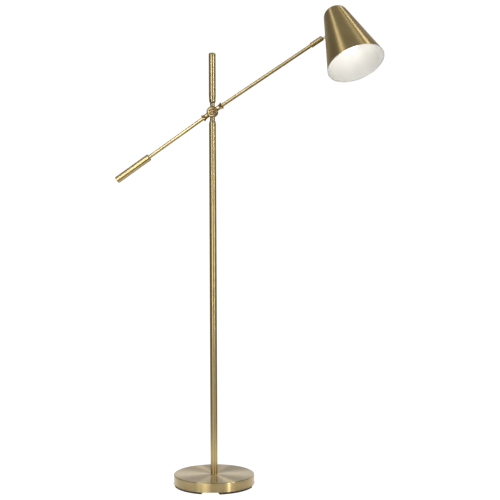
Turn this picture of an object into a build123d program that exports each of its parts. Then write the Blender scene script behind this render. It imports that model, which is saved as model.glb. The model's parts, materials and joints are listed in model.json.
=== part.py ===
from build123d import *
import os
from math import atan, cos, degrees, radians, sin, tan

# Pharmacy floor lamp: a weighted round base, a three-piece pole, a cross knuckle that carries
# a short mast and a tilting boom, a counterweight on one rod and a conical shade on the other.
# Millimetres. The origin is on the floor under the pole, +Z is up, and the boom lies over the
# XZ plane with the shade towards +X.

# ---- driving dimensions ----
FIT = 0.05            # radial room between a threaded or pressed piece and its hole
RUN = 0.08            # radial room of a bearing

foot_height = 7.0
foot_outer = 137.0
foot_width = 22.0
foot_arc = 67.0
foot_turn = 5.0
foot_names = ["right", "rear", "left", "front"]

base_radius = 140.0
base_side_radius = 139.0
base_top = 39.4
sheet = 1.5           # spun steel of the base cover
base_edge = 3.0
bead = 1.3
pan_sheet = 1.2
weight_thickness = 11.0
inlet_height = 15.3
inlet_bore = 3.2
inlet_body = 4.6

tube_radius = 12.0
tube_wall = 1.2
nipple_radius = 6.0
nipple_bore = 4.5
lead_radius = 2.3

pivot_height = 1284.4
disc_radius = 19.0
disc_half = 11.0
disc_room = 20.2      # the other half's spigots start outside this radius
seam_half = 0.25      # half of the gap that the friction ring fills
screw_radius = 4.0

neck_drop = 30.0      # pivot centre to the swivel shoulder
cone_drop = 40.0      # pivot centre to the top of the pole tube
mast_neck_rise = 29.0
mast_tube_rise = 54.0
mast_top_rise = 198.5
cap_height = 9.0
shank_radius = 6.0

boom_angle = 33.98    # of the cross hub, above level
droop = 0.83          # how much each rod hangs below the hub's own line
rod_radius = 6.0
trumpet_root = 8.0
trumpet_rim = 12.6
trumpet_end = 39.0
rod_start = 24.0

weight_start = 267.2
weight_end = 406.4
weight_radius = 12.0

sleeve_start = 400.0
sleeve_radius = 8.7
sleeve_room = 7.5     # bore for the collar and the clevis spigot
clevis_start = 432.0
clevis_end = 446.0
pin_along = 441.6
pin_radius = 2.0
slot_half = 2.6
swivel_angle = 29.06  # how far the shade is turned from hanging straight under the boom
tilt_angle = 22.24    # how far the shade's stem leans out of the boom's line

stem_radius = 3.75
wall_along = 16.7     # pin to the outside of the shade, along the stem
opening_radius = 98.3
crown_radius = 35.0   # where the side would meet the flat top with no rounding
shade_length = 231.4
crown_round = 31.0
shade_sheet = 1.0
hem_depth = 5.0
hem_sheet = 2.2
stem_from_opening = 147.0

bulb_tip = 45.0       # all heights inside the shade are from its opening
globe_radius = 30.0
socket_mouth = 126.0
socket_shoulder = 178.0

# ---- helpers ----


def turned(*outline):
    """A solid of revolution about Z from (radius, height) corners."""
    return revolve(Plane.XZ * make_face(Polyline(*outline, close=True)), Axis.Z)


def rod(radius, low, high):
    return Pos(0, 0, low) * Cylinder(radius, high - low, align=(Align.CENTER, Align.CENTER, Align.MIN))


def ring(outer, inner, low, high):
    return rod(outer, low, high) - rod(inner, low, high)


def hex_nut(across_flats, bore, low, high):
    outline = RegularPolygon(across_flats / 2, 6, major_radius=False)
    return Pos(0, 0, low) * extrude(outline, high - low) - rod(bore, low, high)


def circles_at(part, height, radius):
    """The round edges of a turned part that have this height and radius."""
    rounds = part.edges().filter_by(GeomType.CIRCLE)
    return rounds.filter_by(lambda e: abs(e.arc_center.Z - height) < 0.01 and abs(e.radius - radius) < 0.01)


def lead_along(route, radii, radius):
    """A round lead along straight runs joined by arcs."""
    path = FilletPolyline(*route, radius=radii)
    section = Plane(origin=path @ 0, z_dir=path % 0) * Circle(radius)
    return sweep(section, path=path)


# ---- places ----
pivot = Vector(0, 0, pivot_height)
at_pivot = Pos(pivot)
# Across the knuckle, +Z of this plane points to the front of the lamp.
knuckle = Plane(origin=pivot, x_dir=(1, 0, 0), z_dir=(0, -1, 0)).location
shade_rod_angle = radians(boom_angle - droop)
weight_rod_angle = radians(boom_angle + droop)
rod_line = Vector(cos(shade_rod_angle), 0, sin(shade_rod_angle))
weight_line = Vector(-cos(weight_rod_angle), 0, -sin(weight_rod_angle))
shade_side = Plane(origin=pivot, x_dir=(0, -1, 0), z_dir=rod_line).location
weight_side = Plane(origin=pivot, x_dir=(0, -1, 0), z_dir=weight_line).location

# The clevis lies along the rod, with its slot open towards the side that the shade leans to.
under = Vector(sin(shade_rod_angle), 0, -cos(shade_rod_angle))
turn = radians(swivel_angle)
lean = under * cos(turn) + Vector(0, -1, 0) * sin(turn)
clevis_place = Plane(origin=pivot, x_dir=lean, z_dir=rod_line).location
pin_centre = pivot + rod_line * pin_along
pin_axis = rod_line.cross(lean)
tilt = radians(tilt_angle)
stem_line = rod_line * cos(tilt) + lean * sin(tilt)
stem_side = lean * cos(tilt) - rod_line * sin(tilt)
stem_place = Plane(origin=pin_centre, x_dir=stem_side, z_dir=stem_line).location
pin_place = Plane(origin=pin_centre, x_dir=rod_line, z_dir=pin_axis).location

# The shade's side makes this angle with its axis, and the stem stands square on the side.
side_angle = atan((opening_radius - crown_radius) / shade_length)
shade_down = stem_line * sin(side_angle) + stem_side * cos(side_angle)
to_arm = stem_side * sin(side_angle) - stem_line * cos(side_angle)
radius_at_stem = opening_radius - stem_from_opening * tan(side_angle)
wall_point = pin_centre + stem_line * wall_along
opening_centre = wall_point - to_arm * radius_at_stem + shade_down * stem_from_opening
shade_place = Plane(origin=opening_centre, x_dir=to_arm, z_dir=-shade_down).location

nodes = {}

# ---- base ----


def base_cover():
    side_bottom = foot_height + bead
    solid = rod(base_side_radius, side_bottom, base_top)
    solid = fillet(circles_at(solid, base_top, base_side_radius), base_edge)
    inner = rod(base_side_radius - sheet, side_bottom, base_top - sheet)
    inner = fillet(circles_at(inner, base_top - sheet, base_side_radius - sheet), base_edge - sheet)
    rolled = Pos(0, 0, side_bottom) * Torus(base_radius - bead, bead)
    cover = solid - inner + rolled
    cover -= rod(nipple_radius + 0.3, base_top - 2 * sheet, base_top + 1)
    return cover - inlet_hole()


def inlet_hole():
    return Pos(0, base_radius, inlet_height) * Rot(90, 0, 0) * Cylinder(inlet_body + FIT, 20)


def base_weight():
    low = base_top - sheet - weight_thickness
    solid = rod(base_side_radius - sheet - 0.7, low, base_top - sheet)
    solid = chamfer(circles_at(solid, base_top - sheet, base_side_radius - sheet - 0.7), 2.5)
    return solid - rod(nipple_radius + 0.3, low, base_top) - rod(30, low, low + 7)


def base_pan():
    outer = base_side_radius - sheet - 0.3
    top = base_top - sheet - weight_thickness
    dish = rod(outer, foot_height, top) - rod(outer - pan_sheet, foot_height + pan_sheet, top)
    dish = fillet(circles_at(dish, foot_height, outer), 1.0)
    return dish - inlet_hole()


def foot_pad(turned_by):
    outline = Plane.XZ * Pos(foot_outer - foot_width / 2, foot_height / 2) * Rectangle(foot_width, foot_height)
    pad = revolve(outline, Axis.Z, revolution_arc=foot_arc)
    end_edges = pad.edges().filter_by(GeomType.LINE).group_by(Axis.Z)[0]
    pad = chamfer(end_edges, 5.0)
    return Rot(0, 0, turned_by - foot_arc / 2) * pad


def cord_bushing():
    body = rod(inlet_body, -8.0, 0.1) + rod(5.5, 0.1, 1.6)
    body = fillet(circles_at(body, 1.6, 5.5), 0.8)
    body -= rod(inlet_bore, -9, 3)
    return Pos(0, base_side_radius, inlet_height) * Rot(-90, 0, 0) * body


nodes["base_cover"] = base_cover()
nodes["base_weight"] = base_weight()
nodes["base_pan"] = base_pan()
for number, name in enumerate(foot_names):
    nodes["foot_pad_" + name] = foot_pad(foot_turn + 45 + 90 * number)
nodes["cord_bushing"] = cord_bushing()
pocket_top = base_top - sheet - weight_thickness + 7
nodes["base_washer"] = ring(22, nipple_radius + 0.2, pocket_top - 2, pocket_top)
nodes["base_nut"] = hex_nut(19, nipple_radius + FIT, pocket_top - 8, pocket_top - 2)
nodes["base_nipple"] = ring(nipple_radius, nipple_bore, pocket_top - 9.5, base_top + 18)

# ---- pole ----
tube_bore = tube_radius - tube_wall
plug_radius = tube_bore - FIT
pole_end = pivot_height - cone_drop
section_length = (pole_end - base_top) / 3
section_names = ["lower", "middle", "upper"]


def pole_coupler(seam):
    """A threaded joiner, half of it in the tube under the seam and half in the tube above."""
    body = ring(plug_radius, nipple_bore, seam - 22, seam + 22)
    rim = circles_at(body, seam - 22, plug_radius) + circles_at(body, seam + 22, plug_radius)
    return chamfer(rim, 1.0)


def pole_neck():
    """The cone at the top of the pole, with the swivel's bearing and stop groove in it."""
    shoulder = -neck_drop - 1.0
    outside = turned((0, shoulder), (10.25, shoulder), (tube_radius, -cone_drop), (plug_radius, -cone_drop),
                     (plug_radius, -64), (0, -64))
    outside = fillet(circles_at(outside, shoulder, 10.25), 0.8)
    bearing = rod(shank_radius + RUN, -65, 0)
    nut_room = rod(9.2, -65, -46)
    groove = Plane.XZ * Pos(7.0, -40) * Rectangle(2.8, 3.0)
    groove = Rot(0, 0, -171) * revolve(groove, Axis.Z, revolution_arc=342)
    return outside - bearing - nut_room - groove


for number, name in enumerate(section_names):
    low = base_top + number * section_length
    nodes["pole_tube_" + name] = ring(tube_radius, tube_bore, low, low + section_length)
nodes["pole_foot_bush"] = ring(plug_radius, nipple_radius + FIT, base_top, base_top + 24)
nodes["pole_coupler_lower"] = pole_coupler(base_top + section_length)
nodes["pole_coupler_upper"] = pole_coupler(base_top + 2 * section_length)
nodes["pole_neck"] = at_pivot * pole_neck()
pole_lead_route = [(0, base_side_radius - 8.5, inlet_height), (0, 0, inlet_height), (0, 0, pivot_height - 64)]
nodes["lead_pole"] = lead_along(pole_lead_route, 7.0, lead_radius)

# ---- knuckle and mast ----
lead_offset = 3.3     # the leads cross the knuckle this far behind or in front of its seam
lead_bore = 2.8
thin_lead = 1.6


def half_disc():
    """The half of the knuckle on the +Z side of its seam, with a hollow round the screw."""
    disc = rod(disc_radius, seam_half, disc_half)
    disc = fillet(circles_at(disc, disc_half, disc_radius), 2.5)
    return disc


def disc_hollow():
    return ring(15.0, 7.0, -1, 8.0)


def mast_hub():
    """Rear half of the knuckle, with the swivel shank below it and the mast's stud above."""
    flip = Rot(180, 0, 0)
    below = turned((0, -10), (8.75, -10), (8.75, -neck_drop), (shank_radius, -neck_drop),
                   (shank_radius, -57), (0, -57))
    above = turned((0, 10), (8.25, 10), (8.25, mast_neck_rise), (5, mast_neck_rise), (5, 44), (0, 44))
    above = chamfer(circles_at(above, 44, 5), 0.8)
    spigots = at_pivot * (below + above)
    hub = spigots - knuckle * rod(disc_room, -seam_half, 14)
    hub += knuckle * flip * half_disc()
    hub -= knuckle * flip * disc_hollow()
    hub -= knuckle * rod(screw_radius + FIT, -14, 14)
    hub -= at_pivot * rod(3.5, -60, -28)
    hub -= at_pivot * Pos(0, lead_offset, 0) * rod(lead_bore, -34, -8)
    hub -= at_pivot * stop_pin(1.12)
    return hub


def stop_pin(radius):
    return Pos(6.0, 0, -40) * Rot(0, 90, 0) * Cylinder(radius, 3.8)


def mast_neck():
    outside = turned((0, 29), (8.4, 29), (10.7, 33.5), (tube_radius, mast_tube_rise),
                     (plug_radius, mast_tube_rise), (plug_radius, 74), (0, 74))
    outside = fillet(circles_at(outside, 33.5, 10.7), 2.5)
    return outside - rod(5 + FIT, 28, 46)


def mast_cap():
    low = mast_top_rise - cap_height
    cap = rod(tube_radius, low, mast_top_rise)
    cap = fillet(circles_at(cap, mast_top_rise, tube_radius), 5.8)
    return cap + rod(plug_radius, low - 12, low)


def pivot_cap():
    """A dished ring that the pivot screw draws against the front half."""
    low = disc_half
    cup = turned((screw_radius + 0.2, low), (14, low), (14, low + 4), (11, low + 4), (7.5, low + 1.6),
                 (screw_radius + 0.2, low + 1.6))
    cup = fillet(circles_at(cup, low + 4, 14), 1.4)
    return fillet(circles_at(cup, low + 4, 11), 1.0)


def pivot_screw():
    seat = disc_half + 2.6
    head = rod(6.2, seat, seat + 3.6)
    head = fillet(circles_at(head, seat + 3.6, 6.2), 2.4)
    key = Pos(0, 0, seat + 2.2) * extrude(RegularPolygon(2.0, 6, major_radius=False), 3)
    return head - key + rod(screw_radius, -14.5, seat)


def pivot_nut():
    nut = rod(9, -16.5, -disc_half)
    nut = fillet(circles_at(nut, -16.5, 9), 3.0)
    return nut - rod(screw_radius + FIT, -15, -disc_half)


nodes["mast_hub"] = mast_hub()
nodes["swivel_washer"] = at_pivot * ring(8.7, shank_radius + 0.15, -neck_drop - 0.95, -neck_drop)
nodes["swivel_spring_washer"] = at_pivot * ring(8.9, shank_radius + 0.15, -48, -46.05)
nodes["swivel_nut"] = at_pivot * hex_nut(15, shank_radius + FIT, -54, -48)
nodes["swivel_stop_pin"] = at_pivot * stop_pin(1.1)
nodes["friction_ring"] = knuckle * ring(18.8, 15.2, -0.2, 0.2)
nodes["pivot_screw"] = knuckle * pivot_screw()
nodes["pivot_spring_washer"] = knuckle * ring(6.6, screw_radius + 0.15, disc_half + 1.65, disc_half + 2.6)
nodes["pivot_nut"] = knuckle * pivot_nut()
nodes["mast_neck"] = at_pivot * mast_neck()
mast_tube_top = mast_top_rise - cap_height
nodes["mast_tube"] = at_pivot * ring(tube_radius, tube_bore, mast_tube_rise, mast_tube_top)
nodes["mast_cap"] = at_pivot * mast_cap()
hub_route = [(0, 0, -55), (0, 0, -36), (0, lead_offset, -24), (0, lead_offset, -9)]
nodes["lead_knuckle"] = at_pivot * lead_along(hub_route, 20.0, thin_lead)

# ---- boom ----


def trumpet():
    """A flared collar along +Z with a dished mouth, which a rod screws into."""
    flare = Spline((trumpet_root, 20), (8.8, 31), (trumpet_rim, trumpet_end), tangents=[(0, 1), (0.66, 0.75)])
    rest = Polyline(flare @ 1, (trumpet_rim - 0.6, trumpet_end + 0.3), (rod_radius + 1.2, 35), (0, 35), (0, 10),
                    (trumpet_root, 10), flare @ 0)
    horn = revolve(Plane.XZ * make_face(flare + rest), Axis.Z)
    return horn - rod(rod_radius + FIT, rod_start - 1.5, 40)


def boom_hub():
    """Front half of the knuckle, with a trumpet collar on each side for the two rods."""
    horns = shade_side * trumpet() + weight_side * trumpet()
    hub = horns - knuckle * rod(disc_room, -14, seam_half)
    hub += knuckle * half_disc()
    hub -= shade_side * rod(rod_radius + FIT, rod_start - 1.5, 40)
    hub -= weight_side * rod(rod_radius + FIT, rod_start - 1.5, 40)
    hub -= knuckle * disc_hollow()
    hub -= knuckle * rod(screw_radius + RUN, -14, 14)
    hub -= shade_side * Pos(lead_offset, 0, 0) * rod(lead_bore, 8, 26)
    return hub


def counterweight_shell():
    shell = rod(weight_radius, weight_start, weight_end)
    shell = fillet(circles_at(shell, weight_start, weight_radius), 3.0)
    shell = chamfer(circles_at(shell, weight_end, weight_radius), 0.4)
    shell -= rod(weight_radius - 1.5, weight_start + 4, weight_end)
    return shell - rod(rod_radius + FIT, weight_start, weight_start + 4)


def weight_rod():
    """Solid rod: its inner end screws into the hub and its turned-down end into the weight."""
    return rod(rod_radius, rod_start, weight_start + 4) + rod(3.95, weight_start + 4, weight_start + 30)


core_low = weight_start + 4
core_high = weight_end - 4
nodes["boom_hub"] = boom_hub()
nodes["pivot_cap"] = knuckle * pivot_cap()
nodes["weight_rod"] = weight_side * weight_rod()
nodes["counterweight_shell"] = weight_side * counterweight_shell()
nodes["counterweight_core"] = weight_side * (rod(10.4, core_low, core_high) - rod(4.0, core_low, core_low + 28))
nodes["counterweight_plug"] = weight_side * rod(10.45, core_high, weight_end - 0.3)
nodes["boom_tube"] = shade_side * ring(rod_radius, rod_radius - 1, rod_start, 425)
nodes["swivel_collar"] = shade_side * ring(sleeve_room - 0.3, rod_radius + FIT, 418.5, 424.5)
# The boom's lead starts in front of the seam and settles on the tube's centre line.
boom_route = [(lead_offset, 0, 9), (lead_offset, 0, 17), (0, 0, 33), (0, 0, 427)]
nodes["lead_boom"] = shade_side * lead_along(boom_route, 30.0, thin_lead)

# ---- shade swivel ----


def swivel_sleeve():
    sleeve = rod(sleeve_radius, sleeve_start, clevis_start)
    sleeve = fillet(circles_at(sleeve, sleeve_start, sleeve_radius), 0.8)
    return sleeve - rod(rod_radius + RUN, sleeve_start, 419) - rod(sleeve_room, 418, clevis_start)


def clevis():
    """Two ears with the tilt screw through them, on a spigot that fits the sleeve."""
    ears = rod(sleeve_radius, clevis_start, clevis_end)
    ears = fillet(circles_at(ears, clevis_end, sleeve_radius), 1.2)
    body = ears + rod(sleeve_room - FIT, clevis_start - 4, clevis_start)
    slot_low = pin_along - 6.0
    slot = Pos(0, 0, (slot_low + clevis_end + 1) / 2) * Box(20, 2 * slot_half, clevis_end + 1 - slot_low)
    body -= slot
    body -= rod(2.2, clevis_start - 5, pin_along - 5)
    across = Pos(0, 0, pin_along) * Rot(-90, 0, 0)
    body -= across * rod(pin_radius + FIT, -9, 9)
    body -= across * rod(3.5, 6.2, 10)
    return body - across * rod(3.5, -10, -6.2)


def tilt_screw():
    head = rod(3.3, 6.2, 8.4)
    head = fillet(circles_at(head, 8.4, 3.3), 1.0)
    slot = Pos(0, 0, 8.4) * Box(8, 0.9, 1.8)
    return head - slot + rod(pin_radius, -8.6, 6.2)


nodes["swivel_sleeve"] = clevis_place * swivel_sleeve()
nodes["clevis"] = clevis_place * clevis()
nodes["tilt_screw"] = pin_place * tilt_screw()
nodes["tilt_nut"] = pin_place * hex_nut(5.8, pin_radius + FIT, -8.2, -6.2)
washers = [ring(3.7, pin_radius + RUN, 2.2, slot_half), ring(3.7, pin_radius + RUN, -slot_half, -2.2)]
nodes["tilt_washers"] = pin_place * Compound(children=washers)

# ---- shade ----
stem_bore = 1.7
socket_lead = 1.5
leg_face = wall_along + 2.1
leg_half_width = 9.0


def cone(inset, low):
    """The shade's outside, or its outside moved in by a thickness, down to a height."""
    slope = tan(side_angle)
    top = shade_length - inset
    wall = opening_radius - inset / cos(side_angle)
    face = make_face(Polyline((0, low), (wall - low * slope, low), (wall - top * slope, top), (0, top), close=True))
    corner = face.vertices().sort_by_distance((wall - top * slope, top, 0))[0]
    return revolve(Plane.XZ * fillet(corner, crown_round - inset), Axis.Z)


def shade_shell():
    shell = cone(0, 0) - cone(shade_sheet, hem_depth)
    mouth = cone(hem_sheet, -1) & rod(opening_radius, -1, hem_depth)
    shell = shell - mouth
    stem_hole = shade_place.inverse() * stem_place * rod(3.1, 10, 24)
    return shell - stem_hole


def shade_stem():
    """A flat tongue on the tilt screw, a round stem, and a thread through the shade's side."""
    tongue = rod(stem_radius, -4, 10) & Box(20, 4.3, 40)
    tongue = Rot(90, 0, 0) * rod(stem_radius, -2.15, 2.15) + (tongue & rod(10, 0, 10))
    stem = tongue + rod(stem_radius, 9.6, 14.2) + rod(3.0, 14.2, 28)
    stem -= Rot(90, 0, 0) * rod(pin_radius + RUN, -5, 5)
    return stem - rod(stem_bore, 9.6, 30)


def stem_saddle():
    """A washer outside the shade, hollowed to the shade's side."""
    blank = ring(7.5, 3.05, 14.2, 20)
    blank = fillet(circles_at(blank, 14.2, 7.5), 0.8)
    solid_cone = stem_place.inverse() * shade_place * cone(0, 0)
    return blank - solid_cone


def socket_bracket():
    """A bent strap: one leg under the stem's nut, the other over the lampholder."""
    rise = (socket_shoulder + 2 - stem_from_opening) / cos(side_angle)
    leg = Pos((12 - rise) / 2, 0, leg_face + 1) * Box(rise + 12, 2 * leg_half_width, 2)
    leg -= rod(3.1, leg_face - 1, leg_face + 3)
    leg = shade_place.inverse() * stem_place * leg
    reach = opening_radius - (socket_shoulder + 2) * tan(side_angle) - 3.6
    arm = Pos((reach - 12) / 2, 0, socket_shoulder + 1) * Box(reach + 12, 2 * leg_half_width, 2)
    arm -= rod(5.1, socket_shoulder - 1, socket_shoulder + 3)
    arm -= Pos(32, 0, 0) * rod(3.5, socket_shoulder - 1, socket_shoulder + 3)
    below_arm = rod(opening_radius, 0, socket_shoulder + 2)
    return (leg & below_arm) + arm


def lampholder_body():
    body = turned((0, 126), (19.5, 126), (19.5, 168), (15, socket_shoulder), (5, socket_shoulder), (5, 192), (0, 192))
    body = fillet(circles_at(body, 126, 19.5), 1.2)
    return body - rod(14.3, 120, 163) - rod(3.0, 160, 200)


def lampholder_shell():
    cup = ring(14.25, 13.75, 130, 160)
    return cup + ring(14.25, 6, 159.5, 160)


def bulb_glass():
    """Pear-shaped envelope, open where its cap is cemented on."""
    def pear(inset):
        reach = globe_radius - inset
        centre = bulb_tip + globe_radius
        flank = radians(36)
        tip = (0, centre - reach)
        side = (reach, centre)
        leave = (reach * cos(flank), centre + reach * sin(flank))
        bowl = ThreePointArc(tip, (reach * cos(radians(-45)), centre + reach * sin(radians(-45))), side)
        shoulder = ThreePointArc(side, (reach * cos(flank / 2), centre + reach * sin(flank / 2)), leave)
        neck = Spline(leave, (13.2 - inset, 117), tangents=[(-sin(flank), cos(flank)), (0, 1)])
        close = Polyline((13.2 - inset, 117), (13.2 - inset, 131), (0, 131), tip)
        return revolve(Plane.XZ * make_face(bowl + shoulder + neck + close), Axis.Z)
    return pear(0) - pear(0.9)


def bulb_cap():
    """Screw cap: a rounded thread, then the insulator and the end contact."""
    threads = 5
    pitch = 3.6
    corners = [(0, 131), (13.0, 131)]
    for turn_number in range(threads):
        start = 132.5 + turn_number * pitch
        corners += [(12.4, start), (13.1, start + pitch / 2)]
    corners += [(12.4, 151), (10.5, 153.5), (5, 155.5), (4.5, 157), (0, 157)]
    cap = turned(*corners)
    return cap


def in_shade(along):
    """Radius and height inside the shade of a point on the stem's line."""
    inward = along - wall_along
    return radius_at_stem - inward * cos(side_angle), stem_from_opening - inward * sin(side_angle)


start_x, start_z = in_shade(12)
bend_x = 32.0
bend_z = stem_from_opening - (radius_at_stem - bend_x) * tan(side_angle)
socket_route = [(start_x, 0, start_z), (bend_x, 0, bend_z), (bend_x, 0, 206), (0, 0, 206), (0, 0, 170)]

nodes["shade_stem"] = stem_place * shade_stem()
nodes["stem_saddle"] = stem_place * stem_saddle()
nodes["shade_shell"] = shade_place * shade_shell()
nodes["socket_bracket"] = shade_place * socket_bracket()
nodes["stem_nut"] = stem_place * hex_nut(10, 3.0 + FIT, leg_face + 2, leg_face + 6.5)
nodes["lampholder_body"] = shade_place * lampholder_body()
nodes["lampholder_shell"] = shade_place * lampholder_shell()
nodes["lampholder_contact"] = shade_place * ring(4.2, 3.05, 157.2, 163.0)
nodes["lampholder_nut"] = shade_place * hex_nut(14, 5 + FIT, socket_shoulder + 2, socket_shoulder + 6)
nodes["bulb_glass"] = shade_place * bulb_glass()
nodes["bulb_cap"] = shade_place * bulb_cap()
nodes["lead_socket"] = shade_place * lead_along(socket_route, [7.0, 9.0, 9.0], socket_lead)

# ---- write ----
os.makedirs("parts", exist_ok=True)
for name, solid in nodes.items():
    export_step(solid, "parts/" + name + ".step")
print(len(nodes), "nodes; side angle", round(degrees(side_angle), 2))
print("shade opening centre", opening_centre, "down", shade_down)
print("pin centre", pin_centre, "pin axis", pin_axis, "rod line", rod_line)
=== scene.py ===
import bpy
import json
from math import atan, atan2, cos, degrees, pi, radians, sin, tan
from mathutils import Matrix, Vector


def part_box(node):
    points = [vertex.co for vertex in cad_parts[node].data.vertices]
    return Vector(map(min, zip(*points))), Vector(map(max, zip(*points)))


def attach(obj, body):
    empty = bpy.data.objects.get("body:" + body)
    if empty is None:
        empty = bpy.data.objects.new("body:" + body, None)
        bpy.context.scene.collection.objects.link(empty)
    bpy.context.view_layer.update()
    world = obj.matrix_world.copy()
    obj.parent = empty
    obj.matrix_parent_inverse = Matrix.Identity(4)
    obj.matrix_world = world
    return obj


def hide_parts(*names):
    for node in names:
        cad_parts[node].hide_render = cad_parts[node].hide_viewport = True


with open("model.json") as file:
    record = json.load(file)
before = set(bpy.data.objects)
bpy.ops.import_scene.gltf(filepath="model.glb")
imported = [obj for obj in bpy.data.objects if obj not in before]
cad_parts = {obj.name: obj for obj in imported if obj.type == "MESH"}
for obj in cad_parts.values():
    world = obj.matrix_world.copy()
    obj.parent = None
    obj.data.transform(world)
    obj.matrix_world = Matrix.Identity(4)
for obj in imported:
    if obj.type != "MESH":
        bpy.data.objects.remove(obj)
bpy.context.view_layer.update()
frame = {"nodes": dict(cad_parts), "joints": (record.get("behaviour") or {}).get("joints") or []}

# Pharmacy floor lamp in brushed antique brass. Metres, on the frame's own axes: the floor is z = 0,
# the pole is the z axis and the boom reaches towards +x.
nodes = frame["nodes"]
mm = 0.001
print("frame loaded:", len(nodes), "nodes")


# where the joints are, and which way the boom and the shade point
joints = {joint["name"]: joint for joint in frame["joints"]}
pivot = Vector(joints["boom_tilt"]["pos_m"])
pinCentre = Vector(joints["shade_tilt"]["pos_m"])
pinAxis = Vector(joints["shade_tilt"]["axis"]).normalized()
rodLine = Vector(joints["shade_swivel"]["axis"]).normalized()

shadeSet = {
    "tilt": 22.24,           # degrees between the stem and the boom
    "openingRadius": 98.3,   # the sizes below are in millimetres, heights from the opening
    "crownRadius": 35.0,
    "length": 231.4,
    "crownRound": 31.0,
    "sheet": 1.0,
    "hemDepth": 5.0,
    "hemSheet": 2.2,
    "hemRound": 0.5,
    "levels": (30, 60, 90, 120, 150, 175),
    "sides": 160,
    "stemHeight": 147.0,
    "stemReach": 16.7,
}


def placeAlong(origin, along, towards):
    # local z lies along a line and local x points as nearly as it can towards another
    z = along.normalized()
    x = (towards - z * towards.dot(z)).normalized()
    y = z.cross(x)
    turn = Matrix((x, y, z)).transposed().to_4x4()
    return Matrix.Translation(origin) @ turn


sideAngle = atan((shadeSet["openingRadius"] - shadeSet["crownRadius"]) / shadeSet["length"])
stemLine = Matrix.Rotation(radians(shadeSet["tilt"]), 3, pinAxis) @ rodLine
stemSide = pinAxis.cross(stemLine)
shadeDown = stemLine * sin(sideAngle) + stemSide * cos(sideAngle)
toArm = stemSide * sin(sideAngle) - stemLine * cos(sideAngle)
radiusAtStem = shadeSet["openingRadius"] - shadeSet["stemHeight"] * tan(sideAngle)
wallPoint = pinCentre + stemLine * shadeSet["stemReach"] * mm
openingCentre = wallPoint - toArm * radiusAtStem * mm + shadeDown * shadeSet["stemHeight"] * mm

uprightPlace = Matrix.Identity(4)
pivotPlace = Matrix.Translation(pivot)
knucklePlace = placeAlong(pivot, Vector((0, -1, 0)), Vector((1, 0, 0)))
boomPlace = placeAlong(pivot, rodLine, Vector((0, -1, 0)))
plugLow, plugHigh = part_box("counterweight_plug")
weightPlace = placeAlong(pivot, (plugLow + plugHigh) / 2 - pivot, Vector((0, -1, 0)))
shadePlace = placeAlong(openingCentre, -shadeDown, toArm)
print("shade opening at", [round(v, 4) for v in openingCentre])


# camera, lights and room
cameraSet = {
    "location": (0.8902, -4.8154, 1.2458),
    "tilt": 84.97,
    "heading": 9.0,
    "roll": -0.136,
    "lens": 103.73,
}
softboxes = [
    # name, bearing round from the camera's side, distance, middle height, width, height, radiance
    ("leftSoftboxLow", -20.5, 4.0, 0.48, 1.35, 0.95, 4.4),
    ("leftSoftboxHigh", -32, 4.0, 2.3, 1.9, 1.5, 3.3),
    ("rightStrip", 44, 4.0, 1.5, 0.34, 3.0, 12.0),
    ("highLeftStrip", -51.3, 3.62, 3.8, 0.42, 1.1, 11.0),
    ("highRightStrip", 77, 3.64, 4.73, 0.27, 0.9, 50.0),
]
roomSet = {
    "front": 0.17,           # brightness that reflections see on the camera's side
    "back": 0.85,
    "above": 0.34,
    "white": 1.05,           # what the camera sees
    "frontEnd": 0.4,         # where the front starts to turn into the back, as a direction's y
    "backStart": 0.96,
    "riseStart": 0.25,       # where the walls start to turn into the ceiling, as a direction's z
    "riseEnd": 0.8,
}
floorSet = {
    "size": 60,
    "drop": 0.0002,          # clear of the feet
    "paint": (0.2, 0.2, 0.2, 1),
    "glow": 0.86,            # light that reflections see near the base, and further out
    "glowFar": 0.04,
    "glowStart": 0.28,
    "glowEnd": 0.95,
}
plainWhite = (1, 1, 1, 1)


def addCamera():
    data = bpy.data.cameras.new("camera")
    data.lens = cameraSet["lens"]
    camera = bpy.data.objects.new("camera", data)
    bpy.context.scene.collection.objects.link(camera)
    turn = Matrix.Rotation(radians(cameraSet["heading"]), 4, "Z")
    turn = turn @ Matrix.Rotation(radians(cameraSet["tilt"]), 4, "X")
    turn = turn @ Matrix.Rotation(radians(cameraSet["roll"]), 4, "Z")
    camera.matrix_world = Matrix.Translation(cameraSet["location"]) @ turn
    bpy.context.scene.camera = camera


def addSoftbox(name, place, target, width, height, radiance):
    data = bpy.data.lights.new(name, "AREA")
    data.shape = "RECTANGLE"
    data.size = width
    data.size_y = height
    data.energy = radiance * pi * width * height
    light = bpy.data.objects.new(name, data)
    bpy.context.scene.collection.objects.link(light)
    light.location = place
    light.rotation_euler = (target - place).to_track_quat("-Z", "Y").to_euler()
    light.visible_camera = False


def addLights():
    wallHeight = 3           # lights below this face the pole, and those above face the shade
    for name, bearing, distance, height, width, tall, radiance in softboxes:
        angle = radians(-90 + cameraSet["heading"] + bearing)
        place = Vector((cos(angle) * distance, sin(angle) * distance, height))
        target = Vector((0, 0, height)) if height < wallHeight else openingCentre
        addSoftbox(name, place, target, width, tall, radiance)


def feed(tree, socket, value):
    # a socket's value is another node's output or a constant
    if isinstance(value, bpy.types.NodeSocket):
        tree.links.new(value, socket)
    else:
        socket.default_value = value


def addNode(tree, kind, inputs=None, **settings):
    node = tree.nodes.new(kind)
    for key, value in settings.items():
        setattr(node, key, value)
    for key, value in (inputs or {}).items():
        feed(tree, node.inputs[key], value)
    return node


def sumOf(tree, operation, first, second=0.0, third=0.0):
    node = addNode(tree, "ShaderNodeMath", {0: first, 1: second, 2: third}, operation=operation)
    return node.outputs[0]


def fitted(tree, value, low, high, newLow, newHigh):
    inputs = {"Value": value, "From Min": low, "From Max": high, "To Min": newLow, "To Max": newHigh}
    return addNode(tree, "ShaderNodeMapRange", inputs).outputs["Result"]


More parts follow.
